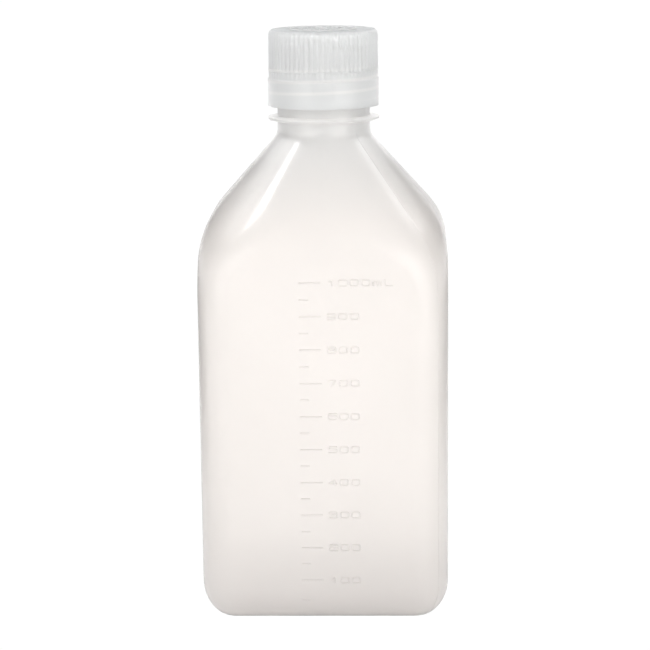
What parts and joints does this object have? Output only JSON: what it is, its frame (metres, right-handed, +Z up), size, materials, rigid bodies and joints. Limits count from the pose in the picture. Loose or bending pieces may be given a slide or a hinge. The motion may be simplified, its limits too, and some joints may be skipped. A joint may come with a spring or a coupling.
{
  "type": "graduated square laboratory bottle",
  "caption": "Square translucent plastic bottle with sloping shoulders, moulded graduations, a flanged round neck and a ribbed screw cap over a sealing ring.",
  "frame": {"origin": "centre of the base, on the surface the bottle stands on", "axes": "+Z up along the neck's axis; -Y towards the graduated face; +X to the right when facing the graduations"},
  "size_m": [0.093, 0.0933, 0.2189],
  "materials": {
    "bottle": "satin",
    "sealing_ring": "matte",
    "screw_cap": "satin"
  },
  "bodies": {
    "bottle": {"bottle": "bottle"},
    "seal": {"sealing_ring": "sealing_ring"},
    "cap": {"screw_cap": "screw_cap"}
  },
  "joints": [
    {"name": "cap_lift", "type": "slide", "parent": "bottle", "child": "seal", "axis": [0, 0, 1], "range_m": [0, 0.04233]},
    {"name": "cap_turn", "type": "hinge", "parent": "seal", "child": "cap", "pos_m": [0, 0, 0.2], "axis": [0, 0, 1], "range_deg": [0, 3600]}
  ],
  "couplings": [
    {"joint": "cap_lift", "follows": "cap_turn", "m_per_rad": 0.0006737}
  ]
}
